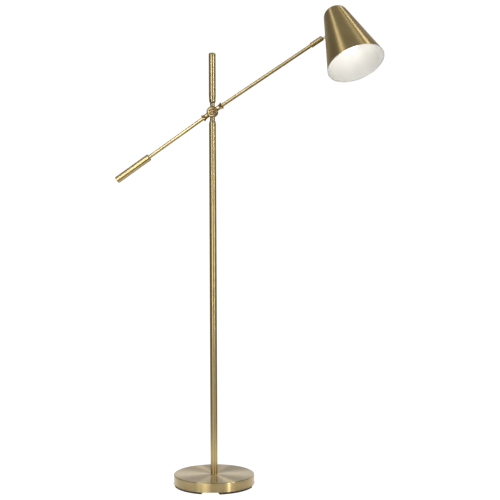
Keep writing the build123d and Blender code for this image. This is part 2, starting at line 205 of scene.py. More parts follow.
def mixedColour(tree, amount, first, second):
    # sockets 0, 6 and 7 are the factor and the two colours
    mix = addNode(tree, "ShaderNodeMix", data_type="RGBA")
    for socket, value in ((0, amount), (6, first), (7, second)):
        feed(tree, mix.inputs[socket], value)
    return mix.outputs[2]


def noiseOf(tree, vector, scale, detail, roughness=0.5):
    inputs = {"Vector": vector, "Scale": scale, "Detail": detail, "Roughness": roughness}
    return addNode(tree, "ShaderNodeTexNoise", inputs).outputs["Fac"]


def lengthOf(tree, vector):
    return addNode(tree, "ShaderNodeVectorMath", {0: vector}, operation="LENGTH").outputs["Value"]


def setWorld():
    # the camera sees plain white, and reflections see a dim room, darkest on the camera's side
    world = bpy.data.worlds.new("studio")
    bpy.context.scene.world = world
    world.use_nodes = True
    tree = world.node_tree
    tree.nodes.clear()
    r = roomSet
    ray = addNode(tree, "ShaderNodeLightPath")
    direction = addNode(tree, "ShaderNodeTexCoord").outputs["Generated"]
    way = addNode(tree, "ShaderNodeSeparateXYZ", {0: direction}).outputs
    around = fitted(tree, way["Y"], r["frontEnd"], r["backStart"], r["front"], r["back"])
    rise = fitted(tree, way["Z"], r["riseStart"], r["riseEnd"], 0.0, 1.0)
    level = addNode(tree, "ShaderNodeMix", {0: rise, 2: around, 3: r["above"]}).outputs[0]
    room = addNode(tree, "ShaderNodeBackground", {"Color": plainWhite, "Strength": level})
    white = addNode(tree, "ShaderNodeBackground", {"Color": plainWhite, "Strength": r["white"]})
    both = addNode(tree, "ShaderNodeMixShader", {
        0: ray.outputs["Is Camera Ray"], 1: room.outputs[0], 2: white.outputs[0]})
    out = addNode(tree, "ShaderNodeOutputWorld")
    tree.links.new(both.outputs[0], out.inputs["Surface"])


def addFloor():
    # the camera sees it white, and reflections see it glow near the base
    f = floorSet
    bpy.ops.object.select_all(action="DESELECT")
    bpy.ops.mesh.primitive_plane_add(size=f["size"], location=(0, 0, -f["drop"]))
    floor = bpy.context.object
    floor.name = "floor"
    material = bpy.data.materials.new("paleFloor")
    material.use_nodes = True
    tree = material.node_tree
    tree.nodes.clear()
    ray = addNode(tree, "ShaderNodeLightPath")
    away = lengthOf(tree, addNode(tree, "ShaderNodeTexCoord").outputs["Object"])
    glow = fitted(tree, away, f["glowStart"], f["glowEnd"], f["glow"], f["glowFar"])
    seen = addNode(tree, "ShaderNodeMix", {0: ray.outputs["Is Camera Ray"], 2: glow, 3: 1.0}).outputs[0]
    paint = addNode(tree, "ShaderNodeBsdfDiffuse", {"Color": f["paint"]})
    shine = addNode(tree, "ShaderNodeEmission", {"Color": plainWhite, "Strength": seen})
    both = addNode(tree, "ShaderNodeAddShader", {0: paint.outputs[0], 1: shine.outputs[0]})
    out = addNode(tree, "ShaderNodeOutputMaterial")
    tree.links.new(both.outputs[0], out.inputs["Surface"])
    material.cycles.emission_sampling = "NONE"
    floor.data.materials.append(material)


bpy.context.scene.view_settings.view_transform = "Standard"
addCamera()
addLights()
setWorld()
addFloor()
print("camera, lights and floor set")


def newEffect(name, inputs, outputs):
    tree = bpy.data.node_groups.new(name, "ShaderNodeTree")
    for socket, kind, value in inputs:
        made = tree.interface.new_socket(socket, in_out="INPUT", socket_type="NodeSocket" + kind)
        if kind == "Float":
            made.default_value = value
    for socket, kind in outputs:
        tree.interface.new_socket(socket, in_out="OUTPUT", socket_type="NodeSocket" + kind)
    return tree, addNode(tree, "NodeGroupInput").outputs, addNode(tree, "NodeGroupOutput").inputs


def makeSpunGrain():
    # brushing that runs round the local z axis, on sides and flat ends alike
    tree, given, result = newEffect(
        "spunGrain",
        [("Vector", "Vector", 0), ("Lines", "Float", 900.0), ("Stretch", "Float", 14.0)],
        [("Grain", "Float"), ("Bands", "Float")])
    part = addNode(tree, "ShaderNodeSeparateXYZ", {0: given["Vector"]}).outputs
    flat = addNode(tree, "ShaderNodeCombineXYZ", {"X": part["X"], "Y": part["Y"]})
    along = sumOf(tree, "SUBTRACT", lengthOf(tree, flat.outputs[0]), part["Z"])
    for output, fineness, detail in (("Grain", 1.0, 3.0), ("Bands", 0.16, 2.0)):
        spread = sumOf(tree, "MULTIPLY", given["Stretch"], fineness ** 0.5)
        across = sumOf(tree, "MULTIPLY", along, sumOf(tree, "MULTIPLY", given["Lines"], fineness))
        where = addNode(tree, "ShaderNodeCombineXYZ", {
            "X": sumOf(tree, "MULTIPLY", part["X"], spread),
            "Y": sumOf(tree, "MULTIPLY", part["Y"], spread),
            "Z": across})
        stroke = noiseOf(tree, where.outputs[0], 1.0, detail, 0.6)
        tree.links.new(fitted(tree, stroke, 0.3, 0.7, 0.0, 1.0), result[output])
    return tree


def makePatina():
    # slow cloudy change of tone, and small spots where the lacquer has thinned
    tree, given, result = newEffect(
        "patina", [("Vector", "Vector", 0), ("Scale", "Float", 12.0)],
        [("Clouds", "Float"), ("Spots", "Float")])
    clouds = noiseOf(tree, given["Vector"], given["Scale"], 5.0, 0.55)
    tree.links.new(fitted(tree, clouds, 0.32, 0.68, 0.0, 1.0), result["Clouds"])
    finer = sumOf(tree, "MULTIPLY", given["Scale"], 14.0)
    spots = noiseOf(tree, given["Vector"], finer, 2.0)
    tree.links.new(fitted(tree, spots, 0.66, 0.76, 0.0, 1.0), result["Spots"])
    return tree


def makeEdgeWear():
    # raised edges, broken up a little so that they aren't outlined, and the hollows between them
    tree, given, result = newEffect(
        "edgeWear", [("Vector", "Vector", 0), ("Start", "Float", 0.57), ("Full", "Float", 0.68)],
        [("Mask", "Float"), ("Hollow", "Float")])
    edge = addNode(tree, "ShaderNodeNewGeometry").outputs["Pointiness"]
    chips = noiseOf(tree, given["Vector"], 160.0, 2.0)
    broken = sumOf(tree, "MULTIPLY_ADD", sumOf(tree, "SUBTRACT", chips, 0.5), 0.05, edge)
    tree.links.new(fitted(tree, broken, given["Start"], given["Full"], 0.0, 1.0), result["Mask"])
    tree.links.new(fitted(tree, edge, 0.49, 0.4, 0.0, 1.0), result["Hollow"])
    return tree


def makeDust():
    # a little fine dust on what faces up
    tree, given, result = newEffect(
        "dust", [("Vector", "Vector", 0), ("Amount", "Float", 0.2)], [("Mask", "Float")])
    normal = addNode(tree, "ShaderNodeTexCoord").outputs["Normal"]
    up = addNode(tree, "ShaderNodeSeparateXYZ", {0: normal}).outputs["Z"]
    facing = fitted(tree, up, 0.55, 1.0, 0.0, 1.0)
    specks = fitted(tree, noiseOf(tree, given["Vector"], 420.0, 3.0), 0.45, 0.75, 0.0, 1.0)
    drift = fitted(tree, noiseOf(tree, given["Vector"], 9.0, 3.0), 0.35, 0.7, 0.3, 1.0)
    thick = sumOf(tree, "MULTIPLY", specks, drift)
    mask = sumOf(tree, "MULTIPLY", sumOf(tree, "MULTIPLY", thick, facing), given["Amount"])
    tree.links.new(mask, result["Mask"])
    return tree


def makePeel():
    # the faint unevenness of paint, enamel, moulded plastic and glaze
    tree, given, result = newEffect(
        "peel", [("Vector", "Vector", 0), ("Scale", "Float", 300.0)],
        [("Height", "Float"), ("Mottle", "Float")])
    tree.links.new(noiseOf(tree, given["Vector"], given["Scale"], 3.0), result["Height"])
    slow = sumOf(tree, "MULTIPLY", given["Scale"], 0.06)
    mottle = noiseOf(tree, given["Vector"], slow, 4.0)
    tree.links.new(fitted(tree, mottle, 0.3, 0.7, 0.0, 1.0), result["Mottle"])
    return tree


effects = {
    "grain": makeSpunGrain(),
    "patina": makePatina(),
    "wear": makeEdgeWear(),
    "dust": makeDust(),
    "peel": makePeel(),
}
print("shared effects made")


def useEffect(tree, effect, inputs):
    node = tree.nodes.new("ShaderNodeGroup")
    node.node_tree = effects[effect]
    for key, value in inputs.items():
        feed(tree, node.inputs[key], value)
    return node.outputs


def newFinish(name, place=uprightPlace):
    # object coordinates moved so that a piece's own axis is local z
    material = bpy.data.materials.new(name)
    material.use_nodes = True
    tree = material.node_tree
    shader = tree.nodes["Principled BSDF"]
    coordinates = addNode(tree, "ShaderNodeTexCoord").outputs["Object"]
    mapping = addNode(tree, "ShaderNodeMapping", {
        "Vector": coordinates,
        "Location": place.to_translation(),
        "Rotation": place.to_euler()}, vector_type="TEXTURE")
    return material, tree, shader, mapping.outputs[0]


def addBump(tree, shader, height, strength, distance):
    bump = addNode(tree, "ShaderNodeBump", {"Height": height, "Strength": strength, "Distance": distance})
    tree.links.new(bump.outputs[0], shader.inputs["Normal"])


def flattened(tree, local):
    # the part of a vector that lies across the local axis
    part = addNode(tree, "ShaderNodeSeparateXYZ", {0: local}).outputs
    return addNode(tree, "ShaderNodeCombineXYZ", {"X": part["X"], "Y": part["Y"]}).outputs[0]


def strokeDirection(tree, local, place):
    # highlights stretch across the brushing: outwards on a flat end, lengthwise on a side
    outward = addNode(tree, "ShaderNodeVectorMath", {0: flattened(tree, local)}, operation="NORMALIZE")
    slant = addNode(tree, "ShaderNodeVectorMath", {0: outward.outputs[0], 1: (0, 0, 1)}, operation="SUBTRACT")
    turned = addNode(tree, "ShaderNodeMapping", {
        "Vector": slant.outputs[0], "Rotation": place.to_euler()}, vector_type="VECTOR")
    posed = addNode(tree, "ShaderNodeVectorTransform", {0: turned.outputs[0]},
                    vector_type="VECTOR", convert_from="OBJECT", convert_to="WORLD")
    return posed.outputs[0]


brassSet = {
    "light": (0.675, 0.52, 0.245, 1),
    "deep": (0.51, 0.38, 0.155, 1),
    "bare": (0.78, 0.645, 0.40, 1),
    # the dark tone of tarnish in hollows, also used for painted shade on some pieces
    "tarnishAndShade": (0.13, 0.09, 0.045, 1),
    "dusty": (0.60, 0.56, 0.50, 1),
    "bandTone": 0.45,        # how far bands, fine grain and clouds shift the tone
    "grainTone": 0.3,
    "cloudTone": 0.4,
    "hollowTone": 0.85,
    "grainGloss": 0.09,      # how much rougher each makes the surface
    "cloudGloss": 0.05,
    "spotGloss": 0.06,
    "dustGloss": 0.5,
    "lacquerRough": 0.12,
    "relief": 0.2,
    "reliefDepth": 0.01 * mm,
    # how far the painted shade on a piece fades out past its reach
    "paintedShadeFade": 0.004,
}


def makeBrass(name, place, rough=0.26, lines=900.0, streak=0.75, stretched=0.55, dusty=0.15, polish=0.0,
              worn=0.5, paintedShade=0.0, paintedShadeReach=0.0):
    b = brassSet
    material, tree, shader, local = newFinish(name, place)
    grain = useEffect(tree, "grain", {"Vector": local, "Lines": lines})
    patina = useEffect(tree, "patina", {"Vector": local})
    dust = useEffect(tree, "dust", {"Vector": local, "Amount": dusty})["Mask"]
    tone = sumOf(tree, "MULTIPLY_ADD", grain["Bands"], b["bandTone"] * streak,
                 sumOf(tree, "MULTIPLY", patina["Clouds"], b["cloudTone"]))
    tone = sumOf(tree, "MULTIPLY_ADD", grain["Grain"], b["grainTone"] * streak, tone)
    colour = mixedColour(tree, tone, b["light"], b["deep"])
    if paintedShade:
        # painted shade: darker towards the tarnish colour, and only near the local axis where a reach is
        # given
        amount = fitted(tree, patina["Clouds"], 0.0, 1.0, paintedShade * 0.7, paintedShade * 1.2)
        if paintedShadeReach:
            away = lengthOf(tree, flattened(tree, local))
            near = fitted(tree, away, paintedShadeReach, paintedShadeReach + b["paintedShadeFade"], 1.0, 0.1)
            amount = sumOf(tree, "MULTIPLY", amount, near)
        colour = mixedColour(tree, amount, colour, b["tarnishAndShade"])
    if worn:
        wear = useEffect(tree, "wear", {"Vector": local})
        hollow = sumOf(tree, "MULTIPLY", wear["Hollow"], b["hollowTone"])
        colour = mixedColour(tree, hollow, colour, b["tarnishAndShade"])
        colour = mixedColour(tree, sumOf(tree, "MULTIPLY", wear["Mask"], worn), colour, b["bare"])
    colour = mixedColour(tree, dust, colour, b["dusty"])
    tree.links.new(colour, shader.inputs["Base Color"])
    gloss = sumOf(tree, "MULTIPLY_ADD", grain["Grain"], b["grainGloss"] * streak, rough - 0.04)
    gloss = sumOf(tree, "MULTIPLY_ADD", patina["Clouds"], b["cloudGloss"], gloss)
    gloss = sumOf(tree, "MULTIPLY_ADD", patina["Spots"], b["spotGloss"], gloss)
    gloss = sumOf(tree, "ADD", gloss, sumOf(tree, "MULTIPLY", dust, b["dustGloss"]))
    tree.links.new(gloss, shader.inputs["Roughness"])
    shader.inputs["Metallic"].default_value = 1.0
    shader.inputs["Coat Weight"].default_value = polish
    shader.inputs["Coat Roughness"].default_value = b["lacquerRough"]
    height = sumOf(tree, "MULTIPLY_ADD", grain["Bands"], 0.6, grain["Grain"])
    addBump(tree, shader, height, b["relief"], b["reliefDepth"])
    if stretched:
        shader.inputs["Anisotropic"].default_value = stretched
        tree.links.new(strokeDirection(tree, local, place), shader.inputs["Tangent"])
    return material


wornGrey = (0.5, 0.5, 0.5, 1)
coatSet = {
    "mottleGloss": 0.1,      # how much rougher mottling and dust make the surface
    "dustGloss": 0.3,
    "coatRough": 0.08,
    "reliefDepth": 0.3 * mm,
}


def makeCoated(name, light, deep, rough, place=uprightPlace, skin=300.0, relief=0.12, coat=0.0, dusty=0.1,
               worn=0.0, metal=0.0, glow=0.0):
    # paint, enamel, rubber, plastic, glaze and plated small parts
    c = coatSet
    material, tree, shader, local = newFinish(name, place)
    peel = useEffect(tree, "peel", {"Vector": local, "Scale": skin})
    dust = useEffect(tree, "dust", {"Vector": local, "Amount": dusty})["Mask"]
    colour = mixedColour(tree, peel["Mottle"], light, deep)
    if worn:
        mask = useEffect(tree, "wear", {"Vector": local})["Mask"]
        colour = mixedColour(tree, sumOf(tree, "MULTIPLY", mask, worn), colour, wornGrey)
    colour = mixedColour(tree, dust, colour, brassSet["dusty"])
    tree.links.new(colour, shader.inputs["Base Color"])
    gloss = sumOf(tree, "MULTIPLY_ADD", peel["Mottle"], c["mottleGloss"], rough)
    gloss = sumOf(tree, "ADD", gloss, sumOf(tree, "MULTIPLY", dust, c["dustGloss"]))
    tree.links.new(gloss, shader.inputs["Roughness"])
    shader.inputs["Metallic"].default_value = metal
    shader.inputs["Coat Weight"].default_value = coat
    shader.inputs["Coat Roughness"].default_value = c["coatRough"]
    # glow is painted light: an emission that makes the surface look lit, as the enamel inside the shade looks
    # lit by the bulb
    if glow:
        shader.inputs["Emission Color"].default_value = light
        shader.inputs["Emission Strength"].default_value = glow
    addBump(tree, shader, peel["Height"], relief, c["reliefDepth"])
    return material


opalSet = {
    "light": (0.93, 0.93, 0.91, 1),
    "deep": (0.87, 0.87, 0.85, 1),
    "lit": (1.0, 0.985, 0.96, 1),
    "litStrength": 2.3,
    "scatter": 0.3,
    "scatterDepth": 4 * mm,
    "rough": (0.16, 0.24),
    "skin": 260.0,
    "relief": 0.05,
    "reliefDepth": 0.2 * mm,
}


def makeOpal():
    # frosted white glass, softly lit from inside
    o = opalSet
    material, tree, shader, local = newFinish("opalGlass", shadePlace)
    peel = useEffect(tree, "peel", {"Vector": local, "Scale": o["skin"]})
    colour = mixedColour(tree, peel["Mottle"], o["light"], o["deep"])
    tree.links.new(colour, shader.inputs["Base Color"])
    tree.links.new(fitted(tree, peel["Mottle"], 0.0, 1.0, *o["rough"]), shader.inputs["Roughness"])
    shader.inputs["Subsurface Weight"].default_value = o["scatter"]
    shader.inputs["Subsurface Scale"].default_value = o["scatterDepth"]
    shader.inputs["Emission Color"].default_value = o["lit"]
    shader.inputs["Emission Strength"].default_value = o["litStrength"]
    addBump(tree, shader, peel["Height"], o["relief"], o["reliefDepth"])
    material.cycles.emission_sampling = "NONE"
    return material


# rough is the lowest roughness, lines the fineness of the brushing, stretched how far highlights run; the
# darkening towards tarnish on some entries is painted shade
brassLooks = {
    "poleBrass": dict(place=uprightPlace, rough=0.31, lines=700.0, streak=0.3, stretched=0.35, polish=0.2),
    "baseBrass": dict(place=uprightPlace, rough=0.34, lines=620.0, streak=0.6, stretched=1.0, dusty=0.6,
                      polish=0.5),
    "boomBrass": dict(place=boomPlace, rough=0.36, lines=700.0, streak=0.3, stretched=0.0, polish=0.2,
                      worn=0.0),
    "weightBrass": dict(place=weightPlace, rough=0.26, lines=700.0, streak=0.3, stretched=0.0, polish=0.2,
                        worn=0.0),
    "shadeBrass": dict(place=shadePlace, rough=0.34, lines=560.0, streak=0.5, stretched=1.0),
    # turned and cap brass are slightly darkened copies, a painted shade
    "turnedBrass": dict(place=pivotPlace, rough=0.24, lines=1500.0, streak=0.5, stretched=0.0, polish=0.2,
                        paintedShade=0.25),
    # the knuckle's face is darkened near its axis, a painted shade
    "knuckleBrass": dict(place=knucklePlace, rough=0.24, lines=1500.0, streak=0.5, stretched=0.0, polish=0.1,
                         paintedShade=0.8, paintedShadeReach=0.0195),
    "capBrass": dict(place=knucklePlace, rough=0.22, lines=1500.0, streak=0.5, stretched=0.0, polish=0.3,
                     paintedShade=0.3),
    "contactBrass": dict(place=shadePlace, rough=0.3, lines=2000.0, stretched=0.0, dusty=0.0),
}
coatedLooks = {
    # the enamel's glow is painted light, the inside of the shade shining as if lit by the bulb
    "whiteEnamel": dict(light=(0.87, 0.855, 0.815, 1), deep=(0.83, 0.815, 0.775, 1), rough=0.3,
                        place=shadePlace, skin=240.0, relief=0.2, coat=0.25, dusty=0.0, glow=0.035),
    "blackPaint": dict(light=(0.018, 0.017, 0.016, 1), deep=(0.03, 0.028, 0.026, 1), rough=0.42, relief=0.3,
                       worn=0.25),
    "footRubber": dict(light=(0.016, 0.014, 0.014, 1), deep=(0.026, 0.023, 0.022, 1), rough=0.55, skin=700.0,
                       relief=0.4, worn=0.12),
    "blackPlastic": dict(light=(0.02, 0.02, 0.02, 1), deep=(0.03, 0.03, 0.03, 1), rough=0.36, skin=900.0,
                         relief=0.25, worn=0.15),
    "greyIron": dict(light=(0.12, 0.115, 0.11, 1), deep=(0.2, 0.18, 0.165, 1), rough=0.6, skin=520.0,
                     relief=0.9, worn=0.4, metal=0.6),
    "zincPlate": dict(light=(0.62, 0.63, 0.65, 1), deep=(0.5, 0.52, 0.55, 1), rough=0.28, skin=420.0,
                      relief=0.15, metal=1.0),
    "capPlate": dict(light=(0.72, 0.7, 0.66, 1), deep=(0.62, 0.6, 0.57, 1), rough=0.3, place=shadePlace,
                     skin=420.0, metal=1.0),
    "nylon": dict(light=(0.74, 0.72, 0.66, 1), deep=(0.66, 0.64, 0.58, 1), rough=0.4, skin=600.0,
                  relief=0.15),
    "leadSheath": dict(light=(0.5, 0.47, 0.4, 1), deep=(0.42, 0.39, 0.33, 1), rough=0.45, skin=800.0,
                       relief=0.2),
    "porcelain": dict(light=(0.84, 0.83, 0.79, 1), deep=(0.78, 0.77, 0.72, 1), rough=0.16, place=shadePlace,
                      skin=150.0, relief=0.15, coat=0.5),
}
finishes = {name: makeBrass(name, **look) for name, look in brassLooks.items()}
finishes.update({name: makeCoated(name, **look) for name, look in coatedLooks.items()})
finishes["opalGlass"] = makeOpal()
print(len(finishes), "finishes made")


def clearSelection():
    if bpy.context.object and bpy.context.object.mode != "OBJECT":
        bpy.ops.object.mode_set(mode="OBJECT")
    bpy.ops.object.select_all(action="DESELECT")


def takeUp(piece):
    clearSelection()
    piece.select_set(True)
    bpy.context.view_layer.objects.active = piece


def arcOf(centreRadius, centreHeight, radius, start, end, steps=8):
    # points of an arc in an outline, its angles in degrees from straight outwards towards up
    points = []
    for step in range(steps + 1):
        angle = radians(start + (end - start) * step / steps)
        points.append((centreRadius + radius * cos(angle), centreHeight + radius * sin(angle)))
    return points


mergeGap = 0.002 * mm
roundSides = 96
softenAngle = 40             # degrees: soften bevels edges sharper than this
smoothAngle = 32             # and shading stays sharp across edges sharper than this


def turnOnLathe(name, outline, sides=roundSides, ring=False):
    # a circle drawn up ring by ring; a ring outline runs round a wall and meets its start again
    clearSelection()
    radius, height = (v * mm for v in outline[0])
    fill = "NOTHING" if ring else "NGON"
    bpy.ops.mesh.primitive_circle_add(vertices=sides, radius=radius, fill_type=fill, location=(0, 0, height))
    piece = bpy.context.object
    piece.name = name
    bpy.ops.object.mode_set(mode="EDIT")
    bpy.ops.mesh.select_all(action="SELECT")
    for step in outline[1:] + (outline[:1] if ring else []):
        newRadius, newHeight = (v * mm for v in step)
        bpy.ops.mesh.extrude_region_move(TRANSFORM_OT_translate={"value": (0, 0, newHeight - height)})
        if newRadius == 0:
            bpy.ops.mesh.merge(type="CENTER")
        elif newRadius != radius:
            grow = newRadius / radius
            bpy.ops.transform.resize(value=(grow, grow, 1), center_override=(0, 0, newHeight))
        radius, height = newRadius, newHeight
    closeUp()
    return piece


def closeUp():
    # doubles merged and faces turned outwards, then back to object mode
    bpy.ops.mesh.select_all(action="SELECT")
    bpy.ops.mesh.remove_doubles(threshold=mergeGap)
    bpy.ops.mesh.normals_make_consistent(inside=False)
    bpy.ops.object.mode_set(mode="OBJECT")


def soften(piece, width, steps=2):
    takeUp(piece)
    bevel = piece.modifiers.new("soften", "BEVEL")
    bevel.width = width * mm
    bevel.segments = steps
    bevel.limit_method = "ANGLE"
    bevel.angle_limit = radians(softenAngle)
    bpy.ops.object.modifier_apply(modifier=bevel.name)


def finishPiece(piece, place, body, material, slotName, *replaced):
    takeUp(piece)
    piece.matrix_world = place @ piece.matrix_world
    bpy.ops.object.transform_apply(location=True, rotation=True, scale=True)
    bpy.ops.object.shade_smooth_by_angle(angle=radians(smoothAngle))
    if not piece.data.materials:
        piece.data.materials.append(finishes[material])
    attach(piece, body)
    if replaced:
        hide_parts(*replaced)


def copyOf(piece, name, move):
    takeUp(piece)
    bpy.ops.object.duplicate(linked=False)
    twin = bpy.context.object
    twin.name = name
    twin.matrix_world = move @ twin.matrix_world
    return twin


# pole and mast: tubes of one size, with a turned neck below and above the knuckle
tubeSet = {"radius": 12.0, "bore": 10.8, "plug": 10.75, "edge": 0.25}


def makeTube(name, low, high):
    # a narrow collar at each end keeps the shading of the long side even
    outer, inner = tubeSet["radius"], tubeSet["bore"]
    collar = 4 * tubeSet["edge"]
    tube = turnOnLathe(name, [
        (outer, low), (outer, low + collar), (outer, high - collar), (outer, high),
        (inner, high), (inner, high - collar), (inner, low + collar), (inner, low)], ring=True)
    soften(tube, tubeSet["edge"])
    return tube


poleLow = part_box("pole_tube_lower")[0].z / mm
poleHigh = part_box("pole_tube_lower")[1].z / mm
lowerTube = makeTube("poleTubeLower", poleLow, poleHigh)
for count, level in enumerate(("middle", "upper"), start=1):
    lift = Matrix.Translation((0, 0, (poleHigh - poleLow) * mm * count))
    tube = copyOf(lowerTube, "poleTube" + level.title(), lift)
    finishPiece(tube, uprightPlace, "base", "poleBrass", "plated_steel", "pole_tube_" + level)
finishPiece(lowerTube, uprightPlace, "base", "poleBrass", "plated_steel", "pole_tube_lower")

neckSet = {
    "top": -31.0,            # heights from the knuckle's centre
    "topRadius": 10.25,
    "flare": [(10.9, -34.2), (11.6, -37.6)],
    "foot": -40.0,
    "bottom": -64.0,
    "bore": 6.08,
    "nutRoom": 9.2,
    "nutRoomTop": -46.0,
}


def makePoleNeck():
    n = neckSet
    plug = tubeSet["plug"]
    edge = [(n["topRadius"] - 0.8, n["top"]), (n["topRadius"] - 0.1, n["top"] - 0.5),
            (n["topRadius"] + 0.1, n["top"] - 1.2)]
    return turnOnLathe("poleNeck", [(n["bore"], n["top"])] + edge + n["flare"] + [
        (tubeSet["radius"], n["foot"]), (plug, n["foot"]), (plug, n["bottom"]), (n["nutRoom"], n["bottom"]),
        (n["nutRoom"], n["nutRoomTop"]), (n["bore"], n["nutRoomTop"])], ring=True)


poleNeck = makePoleNeck()
finishPiece(poleNeck, pivotPlace, "base", "turnedBrass", "solid_brass", "pole_neck")

mastSet = {
    "low": 54.0,
    "capLow": 189.5,
    "top": 198.5,
    "dome": 5.8,
    "studBore": 5.05,
    "studRoom": (29, 46),    # where the stud's bore starts and ends
    "plugTop": 74,
    "neck": [(8.1, 29), (8.4, 29.3), (9.5, 31.2), (10.3, 32.9), (10.75, 34.4), (10.95, 36.4), (12.0, 53.8)],
    "capPlug": 12,
    "capTopRadius": 3.0,
}
mastNeck = turnOnLathe("mastNeck", [
    (mastSet["studBore"], mastSet["studRoom"][1]), (mastSet["studBore"], mastSet["studRoom"][0])]
    + mastSet["neck"]
    + [(11.9, mastSet["low"]), (tubeSet["plug"], mastSet["low"]), (tubeSet["plug"], mastSet["plugTop"])])
finishPiece(mastNeck, pivotPlace, "mast", "turnedBrass", "solid_brass", "mast_neck")

mastTube = makeTube("mastTube", mastSet["low"], mastSet["capLow"])
finishPiece(mastTube, pivotPlace, "mast", "poleBrass", "plated_steel", "mast_tube")


def makeMastCap():
    m = mastSet
    radius, edge = tubeSet["radius"], tubeSet["edge"]
    outline = [(tubeSet["plug"], m["capLow"] - m["capPlug"]), (tubeSet["plug"], m["capLow"]),
               (radius - edge, m["capLow"]), (radius, m["capLow"] + edge)]
    outline += arcOf(radius - m["dome"], m["top"] - m["dome"], m["dome"], 0, 90, 12)
    return turnOnLathe("mastCap", outline + [(m["capTopRadius"], m["top"]), (0, m["top"])])


mastCap = makeMastCap()
finishPiece(mastCap, pivotPlace, "mast", "turnedBrass", "solid_brass", "mast_cap")
print("pole and mast made")


# knuckle: a turned cap with a sunk face round the screw
capSet = {
    "low": 11.0,             # heights from the knuckle's centre towards the front
    "top": 15.0,
    "floor": 12.6,
    "outer": 14.0,
    "inner": 11.0,
    "floorRadius": 7.5,
    "bore": 4.2,
    "edge": 1.4,
}
pivotCap = turnOnLathe("pivotCap", [
    (capSet["bore"], capSet["low"]), (capSet["outer"], capSet["low"]), (capSet["outer"], capSet["top"]),
    (capSet["inner"], capSet["top"]), (capSet["floorRadius"], capSet["floor"]),
    (capSet["bore"], capSet["floor"])], ring=True)
soften(pivotCap, capSet["edge"], steps=4)
finishPiece(pivotCap, knucklePlace, "boom", "capBrass", "solid_brass", "pivot_cap")
print("knuckle made")


# counterweight and swivel sleeve, measured along their rods from the knuckle
weightSet = {
    "start": 267.2,
    "end": 406.4,
    "radius": 12.0,
    "bore": 6.05,
    "round": 3.0,
    "roundSteps": 8,
    "collars": (1.0, 1.5),   # rings near both ends that keep the shading of the side even
    "lip": [(0, 0.5), (0.15, 0.15), (0.5, 0)],
    "room": 10.5,
    "roomStart": 271.2,
}
sleeveSet = {
    "start": 400.0,
    "end": 432.0,
    "radius": 8.7,
    "bore": 6.08,
    "round": 0.8,
    "roundSteps": 4,
    "collars": (0.6, 0.8),
    "lip": [(0, 0.2), (0.2, 0)],
    "room": 7.5,
    "roomStart": 418.0,
}


def makeSheath(name, s):
    # a sleeve round a rod, rounded at its start, lipped at its end and wider inside from a floor on
    outline = [(s["bore"], s["start"])]
    outline += arcOf(s["radius"] - s["round"], s["start"] + s["round"], s["round"], -90, 0, s["roundSteps"])
    startCollar, endCollar = s["collars"]
    outline += [(s["radius"], s["start"] + s["round"] + startCollar), (s["radius"], s["end"] - endCollar)]
    outline += [(s["radius"] - inset, s["end"] - back) for inset, back in s["lip"]]
    outline += [(s["room"], s["end"]), (s["room"], s["roomStart"]), (s["bore"], s["roomStart"])]
    return turnOnLathe(name, outline, ring=True)


weight = makeSheath("counterweight", weightSet)
finishPiece(weight, weightPlace, "boom", "weightBrass", "plated_steel", "counterweight_shell")
sleeve = makeSheath("swivelSleeve", sleeveSet)
finishPiece(sleeve, boomPlace, "shade_swivel", "boomBrass", "solid_brass", "swivel_sleeve")
print("counterweight and sleeve made")


def crownCentre():
    # the middle of the crown's rounding, which touches the side and the flat top
    s = shadeSet
    setBack = s["crownRound"] * tan(radians(45) - sideAngle / 2)
    return s["crownRadius"] - setBack, s["length"] - s["crownRound"]


def crownArc(radius):
    return arcOf(*crownCentre(), radius, degrees(sideAngle), 90, 16)


def makeShadeShell():
    # the wall is one ring outline, closed over the crown by two caps
    s = shadeSet
    slope = tan(sideAngle)
    bottom, top = s["openingRadius"], s["length"]
    inside = bottom - s["sheet"] / cos(sideAngle)
    hem = bottom - s["hemSheet"] / cos(sideAngle)
    outer = [(bottom - 0.5, 0.12), (bottom - 0.08, s["hemRound"])]
    outer += [(bottom - level * slope, level) for level in (2, 8) + s["levels"] + (190,)]
    outer += crownArc(s["crownRound"])
    inner = [((bottom + hem) / 2, 0.0), (hem + 0.4, 0.1), (hem, 0.6),
             (hem - (s["hemDepth"] - 0.6) * slope, s["hemDepth"] - 0.5),
             (inside - (s["hemDepth"] + 0.8) * slope, s["hemDepth"] + 0.8)]
    inner += [(inside - level * slope, level) for level in s["levels"]]
    inner += crownArc(s["crownRound"] - s["sheet"])
    # from the inside of the crown, down inside, round the hem and up outside to the crown's middle
    flat = crownCentre()[0] * 0.4
    path = [(flat, top - s["sheet"])] + inner[::-1] + outer + [(flat, top), (0, top)]
    shell = turnOnLathe("shade", path, sides=s["sides"])
    paintInside(shell)
    return shell


def paintInside(shell):
    # brass all over, then enamel on what faces the axis or down
    crownReach = 40
    for finish in ("shadeBrass", "whiteEnamel"):
        shell.data.materials.append(finishes[finish])
    shell.active_material_index = 1
    takeUp(shell)
    bpy.ops.object.mode_set(mode="EDIT")
    bpy.ops.mesh.select_all(action="DESELECT")
    bpy.ops.object.mode_set(mode="OBJECT")
    for face in shell.data.polygons:
        middle = face.center / mm
        away = (middle.x ** 2 + middle.y ** 2) ** 0.5
        inward = face.normal.x * middle.x + face.normal.y * middle.y < 0
        face.select = inward or face.normal.z < -0.3 or (face.normal.z < 0 and away < crownReach)
    bpy.ops.object.mode_set(mode="EDIT")
    bpy.ops.object.material_slot_assign()
    bpy.ops.object.mode_set(mode="OBJECT")


shade = makeShadeShell()
finishPiece(shade, shadePlace, "shade", "shadeBrass", "shade_brass", "shade_shell")
print("shade made")


# bulb and lampholder, in heights from the shade's opening
bulbSet = {
    "tip": 45.0,
    "globe": 30.0,
    "flank": 36.0,           # degrees up the globe where it leaves for the neck
    "neckRadius": 13.2,
    "neckStart": 117.0,
    "neckMiddle": 124.0,
    "neckEnd": 131.0,
    "flankSteps": 10,
    "sides": 72,
}


